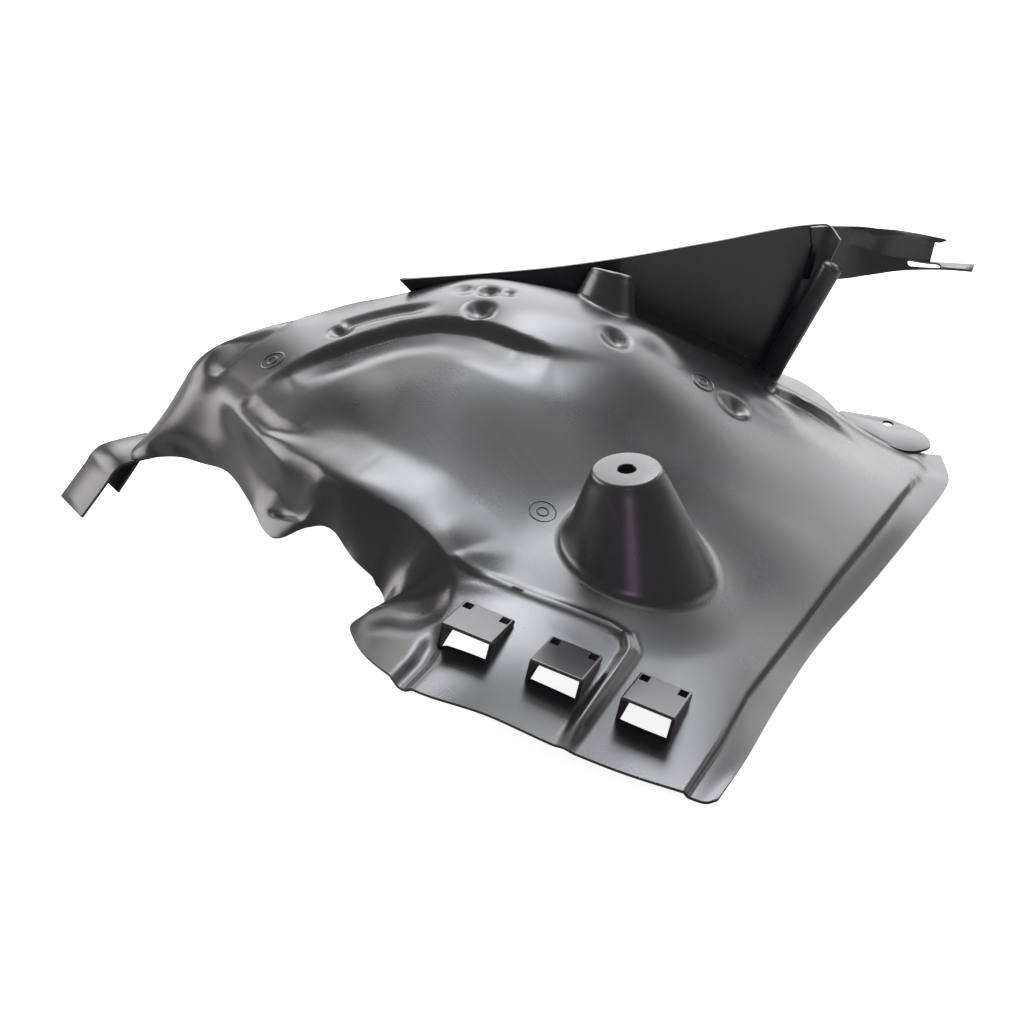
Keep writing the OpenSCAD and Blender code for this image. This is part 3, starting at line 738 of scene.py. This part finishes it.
def closed_sheet(name, grid, cells, thickness):
    """A sheet of that thickness below the grid, as a closed mesh in the frame."""
    under = grid - thickness * grid_normals(grid, cells)
    rows, total = grid.shape[1], grid.shape[0] * grid.shape[1]
    padded = np.pad(cells, 1)
    faces = []
    for i, j in np.argwhere(cells).tolist():
        a, d, e, b = cell_corners(i, j, rows)
        faces.append((a, d, e, b))
        faces.append((a + total, b + total, e + total, d + total))
        edges = (
            (padded[i, j + 1], b, a),
            (padded[i + 2, j + 1], d, e),
            (padded[i + 1, j], a, d),
            (padded[i + 1, j + 2], e, b),
        )
        faces += [(p + total, q + total, q, p) for joined, p, q in edges if not joined]
    return new_piece(name, np.concatenate([grid.reshape(-1, 3), under.reshape(-1, 3)]), faces)


SMOOTH_UNDER = math.radians(38)


def finish_piece(piece, flats=False):
    """Smooth shading with crisp folds, the plastic, and its place in the frame."""
    piece.data.materials.clear()
    piece.data.materials.append(black_plastic)
    piece.data.shade_smooth()
    piece.data.set_sharp_from_angle(angle=SMOOTH_UNDER)
    if flats:
        weights = piece.modifiers.new("weights", "WEIGHTED_NORMAL")
        weights.keep_sharp = True
        baked(piece)
    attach(piece, "root")
    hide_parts("liner")
    print(piece.name, len(piece.data.polygons), "faces")


sheet = closed_sheet("moulded_sheet", skin, kept, WALL)

# %% [markdown]
# ## Carving
# The standoffs are hollow and the slots go through, so the sheet is cut with simple solids. The
# manifold solver does that fast on a dense closed mesh.

# %% Cutting tools
def baked(piece):
    """The piece's mesh with its modifiers applied."""
    bpy.context.view_layer.update()
    depsgraph = bpy.context.evaluated_depsgraph_get()
    result = bpy.data.meshes.new_from_object(piece.evaluated_get(depsgraph))
    piece.modifiers.clear()
    piece.data = result
    return piece


def carve(piece, *cutters):
    for cutter in cutters:
        cut = piece.modifiers.new("cut", "BOOLEAN")
        cut.operation = "DIFFERENCE"
        cut.solver = "MANIFOLD"
        cut.object = cutter
    baked(piece)
    for cutter in cutters:
        bpy.data.objects.remove(cutter)


def joined_rings(name, rings):
    """A closed solid from rings of points: each ring is joined to the next and the last to the first."""
    rings = np.asarray(rings)
    count, around = rings.shape[:2]
    faces = []
    for i in range(count):
        this, following = i * around, (i + 1) % count * around
        for k in range(around):
            m = (k + 1) % around
            faces.append((this + k, this + m, following + m, following + k))
    return new_piece(name, rings.reshape(-1, 3), faces)


def axes_of(direction):
    """Two directions square to a direction, and the direction itself."""
    z = unit(direction)
    x = unit(np.cross([0, 1, 0], z))
    return x, np.cross(z, x), z


AROUND = 144


def spokes(direction):
    """Unit vectors all round a direction."""
    x, y, _ = axes_of(direction)
    angles = np.linspace(0, 2 * math.pi, AROUND, endpoint=False)
    return np.cos(angles)[:, None] * x + np.sin(angles)[:, None] * y


def turned(name, foot, direction, profile):
    """A solid of revolution: the profile is radius and height along the direction, closed on itself."""
    foot, z, out = np.array(foot, float), unit(direction), spokes(direction)
    return joined_rings(name, [foot + z * h + out * r for r, h in profile])


# %% [markdown]
# ## The standoffs
# Both are cones with a flat top and a fixing hole. A cone's lower edge follows the sheet: down each
# line of the cone a ray finds where it meets the skin. A fillet, one quadratic curve swung round the
# foot, runs from the cone on to the sheet.

# %% Meeting the skin
ABOVE_ALL = 220
skin_finder = BVHTree.FromPolygons(
    [Vector(p) for p in place(skin.reshape(-1, 3))],
    [cell_corners(i, j, skin.shape[1]) for i, j in np.argwhere(kept).tolist()],
)


def meet_skin(start, direction):
    """Where a line from the start first meets the skin, in design millimetres, with the facing there."""
    hit, facing, _, _ = skin_finder.ray_cast(Vector(place(start)), Vector(direction))
    return (None, None) if hit is None else (np.array(hit) / MM + ORIGIN, np.array(facing))


def drop_on(x, y):
    """Where a point dropped from above lands on the skin."""
    return meet_skin((x, y, ABOVE_ALL), (0, 0, -1))


# %% Standoff pieces
TOP_ROUND = 3.0
TOP_ROUND_STEPS = 6
FOOT_ROUND = {"front_standoff": 5.0, "rear_standoff": 3.5}
FOOT_ROUND_STEPS = 9
CONE_TOP = 2
CONE_RINGS = 9
HOLE_CHAMFER = 0.5
HOLE_FLAT = 2
TOP_WALL = 1.5 * WALL
SEARCH_DEPTH = 20
SUNK_INSIDE = 1.2
CORE_LIFT = 0.4
CUTTER_DEPTH = 26


def quarter_round(radius, height):
    """A rounded edge that ends at that radius and height: from the side on to the flat."""
    turns = np.linspace(0, math.pi / 2, TOP_ROUND_STEPS)
    return [(radius - TOP_ROUND * (1 - math.cos(a)), height - TOP_ROUND * (1 - math.sin(a))) for a in turns]


def foot_curve(meet, spoke, down, reach):
    """The fillet's curve: from the cone's side, towards where it meets the skin, and out on the skin."""
    outer = meet + unit([spoke[0], spoke[1], 0]) * reach
    landing, _ = drop_on(*outer[:2])
    landing = outer if landing is None else landing
    rise = meet - down * reach
    s = np.linspace(0, 1, FOOT_ROUND_STEPS)[:, None]
    return (1 - s) ** 2 * rise + 2 * s * (1 - s) * meet + s**2 * landing


def standoff(name, foot, lean, height, foot_radius, top_radius, hole):
    foot, z, out = np.array(foot, float), unit(lean), spokes(lean)
    taper = (foot_radius - top_radius) / (height - CONE_TOP)
    start, bottom, inner_bottom, fillet = [], [], [], []
    for spoke in out:
        top = foot + z * (height - CONE_TOP) + spoke * top_radius
        low = foot - z * SEARCH_DEPTH + spoke * (foot_radius + taper * SEARCH_DEPTH)
        down = unit(low - top)
        meet, _ = meet_skin(top, down)
        meet = low if meet is None else meet
        start.append(top)
        bottom.append(meet + down)
        inner_bottom.append(meet + down * SUNK_INSIDE - spoke * WALL)
        fillet.append(foot_curve(meet, spoke, down, FOOT_ROUND[name]))
    start, bottom = np.array(start), np.array(bottom)
    rings = [bottom * (1 - share) + start * share for share in np.linspace(0, 0.9, CONE_RINGS + 1)]
    top_profile = [
        *quarter_round(top_radius, height),
        (hole / 2 + HOLE_FLAT, height),
        (hole / 2 + HOLE_CHAMFER, height),
        (hole / 2, height - HOLE_CHAMFER),
        (hole / 2, height - TOP_WALL),
        (top_radius - 2 * WALL, height - TOP_WALL),
    ]
    rings += [foot + z * h + out * r for r, h in top_profile]
    cone = joined_rings(name, [*rings, inner_bottom])
    core = bottom + CORE_LIFT * z
    return cone, joined_rings(name + "_foot", [*np.swapaxes(fillet, 0, 1), core])


front_cone, front_foot_round = standoff("front_standoff", **FRONT_STANDOFF)
rear_cone, rear_foot_round = standoff("rear_standoff", **REAR_STANDOFF)


def hollow(foot, lean, height, foot_radius, top_radius, hole):
    """What the standoff's inside takes out of the sheet."""
    head = height - CONE_TOP
    taper = (foot_radius - top_radius) / head
    wide = foot_radius + taper * CUTTER_DEPTH - WALL
    profile = [(0, -CUTTER_DEPTH), (wide, -CUTTER_DEPTH), (top_radius - WALL, head), (0, head)]
    return turned("cutter", foot, lean, profile)


# %% [markdown]
# ## The clip slots
# Three slots take clip tongues. Over each stands a wedge-shaped bridge, high and open at the front
# and low at the back, with a notch at each rear corner. One bridge is modelled, and a small
# Geometry Nodes tree sets three of them on a sloping line.

# %% One bridge
BRIDGE = dict(width=32, depth=38, front=15, back=5, notch=5)
SLOT_LIP = 3
SLOT_START = (-155.5, 45, 40.6)
SLOT_STEP = (53, 0, -11.4)
SLOT_COUNT = 3
SLOT_TILT = (math.radians(4), math.radians(12), 0)
SLOT_WEDGE = dict(front=10, back=3, below=15)
BRIDGE_SKIRT = 5
BRIDGE_ROUND = 1.6
BRIDGE_EDGE = 0.35
CUT_BEYOND = 3
CUT_BELOW = 20
ROUND_OVER = math.radians(40)


def wedge(name, width, depth_from, depth_to, front, back, below):
    """A wedge across x, from front to back in y."""
    side = [(depth_from, -below), (depth_to, -below), (depth_to, back), (depth_from, front)]
    vertices = [(x, y, z) for x in (-width / 2, width / 2) for y, z in side]
    faces = [(0, 1, 2, 3), (7, 6, 5, 4)] + [(i, i + 4, (i + 1) % 4 + 4, (i + 1) % 4) for i in range(4)]
    return new_piece(name, np.array(vertices) + ORIGIN, faces)


def block(low, high):
    corners = [(x, y, z) for x in (low[0], high[0]) for y in (low[1], high[1]) for z in (low[2], high[2])]
    faces = [(0, 1, 3, 2), (4, 6, 7, 5), (0, 4, 5, 1), (2, 3, 7, 6), (0, 2, 6, 4), (1, 5, 7, 3)]
    return new_piece("cutter", np.array(corners) + ORIGIN, faces)


def rounded(piece, width, segments=2):
    bevel = piece.modifiers.new("rounded", "BEVEL")
    bevel.width = width * MM
    bevel.segments = segments
    bevel.limit_method = "ANGLE"
    bevel.angle_limit = ROUND_OVER
    return baked(piece)


def one_bridge(width, depth, front, back, notch):
    half = depth / 2
    fall = (front - back) / depth
    piece = wedge("bridge", width, -half, half, front, back, BRIDGE_SKIRT)
    rounded(piece, BRIDGE_ROUND, segments=3)
    inside = wedge(
        "cutter",
        width - 2 * WALL,
        -half - CUT_BEYOND,
        half - WALL,
        front - WALL + CUT_BEYOND * fall,
        back - WALL + WALL * fall,
        CUT_BELOW,
    )
    notch_middle = width / 2 - WALL - notch / 2
    notches = [
        block((middle - notch / 2, half - 2 * notch, back / 2), (middle + notch / 2, half - WALL, front))
        for middle in (-notch_middle, notch_middle)
    ]
    carve(piece, inside, *notches)
    return rounded(piece, BRIDGE_EDGE)


bridge_model = one_bridge(**BRIDGE)

# %% Geometry Nodes: bridges in a row
def new_tree(name, inputs):
    """An empty tree with those inputs, a material and one output."""
    tree = bpy.data.node_groups.new(name, "GeometryNodeTree")
    for label, kind in {**inputs, "Material": "Material"}.items():
        tree.interface.new_socket(label, in_out="INPUT", socket_type="NodeSocket" + kind)
    tree.interface.new_socket("Geometry", in_out="OUTPUT", socket_type="NodeSocketGeometry")
    return tree, tree.nodes.new("NodeGroupInput")


def put_copies(tree, given, points, model, turn):
    """Copies of a model on points, turned, made real and given the material, as the tree's result."""
    nodes, links = tree.nodes, tree.links
    copies = nodes.new("GeometryNodeInstanceOnPoints")
    real = nodes.new("GeometryNodeRealizeInstances")
    finish = nodes.new("GeometryNodeSetMaterial")
    result = nodes.new("NodeGroupOutput")
    links.new(points, copies.inputs["Points"])
    links.new(model, copies.inputs["Instance"])
    links.new(turn, copies.inputs["Rotation"])
    links.new(copies.outputs["Instances"], real.inputs["Geometry"])
    links.new(real.outputs["Geometry"], finish.inputs["Geometry"])
    links.new(given.outputs["Material"], finish.inputs["Material"])
    links.new(finish.outputs["Geometry"], result.inputs["Geometry"])


def row_tree():
    """Copies of an object, a step apart, all turned the same way."""
    inputs = dict(Bridge="Object", Count="Int", Start="Vector", Step="Vector", Tilt="Vector")
    tree, given = new_tree("row_of_bridges", inputs)
    line = tree.nodes.new("GeometryNodeMeshLine")
    model = tree.nodes.new("GeometryNodeObjectInfo")
    for given_name, line_name in (("Count", "Count"), ("Start", "Start Location"), ("Step", "Offset")):
        tree.links.new(given.outputs[given_name], line.inputs[line_name])
    tree.links.new(given.outputs["Bridge"], model.inputs["Object"])
    put_copies(tree, given, line.outputs["Mesh"], model.outputs["Geometry"], given.outputs["Tilt"])
    return tree


def with_nodes(name, tree, values, base=None):
    """A plain mesh made by a Geometry Nodes tree with those inputs."""
    piece = bpy.data.objects.new(name, base or bpy.data.meshes.new(name))
    bpy.context.scene.collection.objects.link(piece)
    modifier = piece.modifiers.new("nodes", "NODES")
    modifier.node_group = tree
    for item in tree.interface.items_tree:
        if item.item_type == "SOCKET" and item.in_out == "INPUT" and item.name in values:
            modifier[item.identifier] = values[item.name]
    return baked(piece)


SEAT_DEPTH = 1.0


def seated(piece):
    """Brings the lower edge of each wall to just under the skin."""
    for vertex in piece.data.vertices:
        x, y, z = np.array(vertex.co) / MM + ORIGIN
        under, _ = drop_on(x, y)
        if under is not None and z < under[2] - SEAT_DEPTH:
            vertex.co.z = (under[2] - SEAT_DEPTH - ORIGIN[2]) * MM


slot_bridges = with_nodes(
    "slot_bridges",
    row_tree(),
    {
        "Bridge": bridge_model,
        "Count": SLOT_COUNT,
        "Start": tuple(place(SLOT_START)),
        "Step": tuple(c * MM for c in SLOT_STEP),
        "Tilt": SLOT_TILT,
        "Material": black_plastic,
    },
)
bpy.data.objects.remove(bridge_model)
seated(slot_bridges)


def slot_cutter(n):
    """What the slot under bridge n takes out of the sheet."""
    half = BRIDGE["depth"] / 2
    cutter = wedge("cutter", BRIDGE["width"] - 2 * WALL, SLOT_LIP - half, half - WALL, **SLOT_WEDGE)
    middle = np.array(SLOT_START) + n * np.array(SLOT_STEP)
    cutter.data.transform(Matrix.Translation(place(middle)) @ Euler(SLOT_TILT).to_matrix().to_4x4())
    return cutter


# %% [markdown]
# ## Rib, bracket, tab and clip
# The back wall ends in a half-round rib. Behind its head a Z-shaped bracket runs on: a top flange,
# a web and a lower flange with a slotted hole. A flat tab with a hole lies under the back rim, and
# at the left end a strip is bent over into the clip's two legs. Folded strips are flat quads given
# their wall by Solidify and their soft edges by Bevel.

# %% The back rib
RIB = dict(foot=(-98, 447, 41), head=(-61, 456, 125), radius=8)
RIB_CAP = 0.6
RIB_LOW = -3
RIB_HOLLOW = (-10, 80)


def back_rib(foot, head, radius):
    along = np.subtract(head, foot)
    length = float(np.linalg.norm(along))
    turns = np.linspace(0, math.pi / 2, 9)
    inside = radius - WALL
    profile = [
        (radius, RIB_LOW),
        *[(radius, RIB_LOW + (length - RIB_LOW) * share) for share in (0.3, 0.6, 0.9)],
        *[(radius * math.cos(a), length + RIB_CAP * radius * math.sin(a)) for a in turns],
        (0, length),
        (inside, length - 1),
        (inside, RIB_LOW),
    ]
    return turned("back_rib", foot, along, profile)


def round_cutter(middle, direction, radius, low, high):
    """A cylinder along a direction, between two heights over its middle."""
    return turned("cutter", middle, direction, [(0, low), (radius, low), (radius, high), (0, high)])


rib = back_rib(**RIB)
rib_axis = np.subtract(RIB["head"], RIB["foot"])
rib_hollow = round_cutter(RIB["foot"], rib_axis, RIB["radius"] - WALL, *RIB_HOLLOW)

# %% Cut the sheet
slot_cutters = [slot_cutter(n) for n in range(SLOT_COUNT)]
carve(sheet, hollow(**FRONT_STANDOFF), hollow(**REAR_STANDOFF), rib_hollow, *slot_cutters)
for piece in (sheet, front_cone, front_foot_round, rear_cone, rear_foot_round, rib):
    finish_piece(piece)
finish_piece(slot_bridges, flats=True)

# %% Folded pieces
SOFT_EDGE = 0.4


def walled(name, vertices, faces):
    """Flat faces with a wall below them."""
    piece = new_piece(name, vertices, faces)
    wall = piece.modifiers.new("wall", "SOLIDIFY")
    wall.thickness = WALL * MM
    wall.offset = -1
    wall.use_even_offset = True
    return baked(piece)


def grid_faces(columns, rows, skip=()):
    cells = [(i, j) for i in range(columns - 1) for j in range(rows - 1)]
    return [cell_corners(i, j, rows) for i, j in cells if (i, j) not in skip]


# %% The end bracket
bracket_grid = [
    [[-80, 465, 150], [-79, 466, 139], [-78, 466, 136], [-82, 462, 112]],
    [[-68, 472, 150], [-58, 488, 134], [-57, 491, 131], [-60, 481, 108]],
    [[-50, 492, 145], [-41, 496, 138], [-46, 502, 125], [-41, 495, 108.5]],
    [[-29, 504, 140], [-25, 504, 138], [-34, 509, 120], [-22, 510, 109]],
    [[0, 527, 131], [-3, 523, 129], [-5, 525, 112], [5, 520, 110]],
    [[5, 528, 129], [0, 526, 127.5], [26, 531, 112], [26, 524, 110]]
]
SLOT_MIDDLE = (-8, 518.5, 112.2)
SLOT_LENGTH = 24
SLOT_WIDTH = 5
SLOT_ALONG = (29, 13, -5)
SLOT_INWARD = (-11, 2, 6.5)
SLOT_REACH = 6
STATION_STEPS = 4
WEB_SECTIONS = 4


def smooth_path(points, steps):
    """More points between those given, on smooth curves."""
    points = np.array(points, float)
    last = len(points) - 1
    flat_points = points.reshape(last + 1, -1)
    fine = curve(np.arange(last + 1), flat_points, np.linspace(0, last, last * steps + 1))
    return fine.reshape(-1, *points.shape[1:])


def stadium(middle, length, width, along, inward):
    """A cutter with round ends that lies along one direction and stands square to it and another."""
    straight, radius = (length - width) / 2, width / 2
    outline = []
    for a in np.linspace(0, 2 * math.pi, 48, endpoint=False):
        outline.append((math.cos(a) * radius + math.copysign(straight, math.cos(a)), math.sin(a) * radius))
    first = unit(along)
    upward = unit(np.cross(first, inward))
    second = np.cross(upward, first)
    ring = [np.array(middle) + x * first + y * second for x, y in outline]
    points = [p + z * upward for z in (-SLOT_REACH, SLOT_REACH) for p in ring]
    n = len(outline)
    faces = [tuple(range(n)), tuple(range(2 * n - 1, n - 1, -1))]
    faces += [(i, (i + 1) % n, (i + 1) % n + n, i + n) for i in range(n)]
    return new_piece("cutter", points, faces)


fine_bracket = smooth_path(bracket_grid, STATION_STEPS)
no_web = [(i, 1) for i in range(WEB_SECTIONS * STATION_STEPS, len(fine_bracket) - 1)]
bracket_faces = grid_faces(*fine_bracket.shape[:2], skip=no_web)
bracket = rounded(walled("end_bracket", fine_bracket.reshape(-1, 3), bracket_faces), SOFT_EDGE)
carve(bracket, stadium(SLOT_MIDDLE, SLOT_LENGTH, SLOT_WIDTH, SLOT_ALONG, SLOT_INWARD))
finish_piece(bracket)

# %% The side tab
TAB_SLOPE = 0.12
tab_ring = [
    [-47, 461], [-40, 452], [-20, 438], [-2, 429], [12, 430], [22, 444],
    [18, 457], [7, 465], [-8, 469], [-16, 470], [-31, 466]
]
TAB_LEVEL = 6
TAB_LEVEL_AT = 18
TAB_HOLE = 8
TAB_HOLE_MIDDLE = (-12, 462, 9.6)
TAB_CUT = 12


def smooth_ring(ring, steps=4):
    """A closed outline with smooth corners."""
    closed = np.array([ring[-2], ring[-1], *ring, ring[0], ring[1]], float)
    knots = np.arange(len(closed))
    fine = np.linspace(2, len(ring) + 2, len(ring) * steps, endpoint=False)
    return curve(knots, closed, fine)


tab_outline = smooth_ring([(x, y, TAB_LEVEL - TAB_SLOPE * (x - TAB_LEVEL_AT)) for x, y in tab_ring])
tab = walled("side_tab", tab_outline, [tuple(range(len(tab_outline)))])
carve(tab, round_cutter(TAB_HOLE_MIDDLE, (TAB_SLOPE, 0, 1), TAB_HOLE / 2, -TAB_CUT, TAB_CUT))
finish_piece(rounded(tab, SOFT_EDGE))

# %% The hooked clip
CLIP_CORNER = np.array([-483, 143, 0])
CLIP_TURN = math.atan2(0.82, 0.57)
CLIP_WIDTH = 36
CLIP_STEPS = 5
clip_path = [[0, 0], [19, 19], [25, 26], [31, 29.5], [37, 30.6], [46, 30.8], [66, 30.4]]
clip_inner = [[44, 30], [27, 11]]


def bent_strip(name, path):
    """A strip that follows a side view of the clip: distance along it and height."""
    fine = smooth_path(path, CLIP_STEPS)
    c, s = math.cos(CLIP_TURN), math.sin(CLIP_TURN)
    spine = CLIP_CORNER + fine[:, :1] * np.array([c, s, 0]) + fine[:, 1:] * np.array([0, 0, 1])
    points = np.stack([spine, spine + CLIP_WIDTH * np.array([-s, c, 0])], axis=1)
    return rounded(walled(name, points.reshape(-1, 3), grid_faces(len(spine), 2)), SOFT_EDGE)


finish_piece(bent_strip("end_clip", clip_path))
finish_piece(bent_strip("end_clip_inner_leg", clip_inner))

# %% [markdown]
# ## Ring marks
# Three small round marks stand on the crown, left by the mould's ejector pins: a fine raised circle
# with a smaller one inside. A Geometry Nodes tree sets them on points of the skin, each lying flat.

# %% Geometry Nodes: marks on the skin
MARKS = [(-160, 160), (-113, 332), (-373, 219)]
MARK_RADIUS = 8.2
MARK_INNER = 0.42
MARK_LINE = 0.55
MARK_AROUND = 64
LINE_AROUND = 8


def marks_tree():
    """Two thin circles on each point, facing the way the point faces."""
    tree, given = new_tree("mould_marks", dict(Points="Geometry", Radius="Float", Line="Float"))
    nodes, links = tree.nodes, tree.links
    section = nodes.new("GeometryNodeCurvePrimitiveCircle")
    section.inputs["Resolution"].default_value = LINE_AROUND
    links.new(given.outputs["Line"], section.inputs["Radius"])
    both = nodes.new("GeometryNodeJoinGeometry")
    for share in (1.0, MARK_INNER):
        size = nodes.new("ShaderNodeMath")
        size.operation = "MULTIPLY"
        size.inputs[1].default_value = share
        circle = nodes.new("GeometryNodeCurvePrimitiveCircle")
        circle.inputs["Resolution"].default_value = MARK_AROUND
        tube = nodes.new("GeometryNodeCurveToMesh")
        links.new(given.outputs["Radius"], size.inputs[0])
        links.new(size.outputs[0], circle.inputs["Radius"])
        links.new(circle.outputs["Curve"], tube.inputs["Curve"])
        links.new(section.outputs["Curve"], tube.inputs["Profile Curve"])
        links.new(tube.outputs["Mesh"], both.inputs["Geometry"])
    facing = nodes.new("GeometryNodeInputNamedAttribute")
    facing.data_type = "FLOAT_VECTOR"
    facing.inputs["Name"].default_value = "facing"
    turn_to = nodes.new("FunctionNodeAlignRotationToVector")
    turn_to.axis = "Z"
    links.new(facing.outputs["Attribute"], turn_to.inputs["Vector"])
    put_copies(tree, given, given.outputs["Points"], both.outputs["Geometry"], turn_to.outputs["Rotation"])
    return tree


mark_spots = [drop_on(x, y) for x, y in MARKS]
mark_points = bpy.data.meshes.new("mould_marks")
mark_points.from_pydata([tuple(place(spot)) for spot, _ in mark_spots], [], [])
facing = mark_points.attributes.new("facing", "FLOAT_VECTOR", "POINT")
for item, (_, direction) in zip(facing.data, mark_spots):
    item.vector = direction * math.copysign(1, direction[2])
marks = with_nodes(
    "mould_marks",
    marks_tree(),
    {"Radius": MARK_RADIUS * MM, "Line": MARK_LINE * MM, "Material": black_plastic},
    mark_points,
)
finish_piece(marks)

# %% [markdown]
# ## Size
# The box round the dressed liner is printed. The dressed liner has to stay in the CAD
# model's box.

# %% Boxes and finish
low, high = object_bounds()
print("visual box", list(low), list(high))
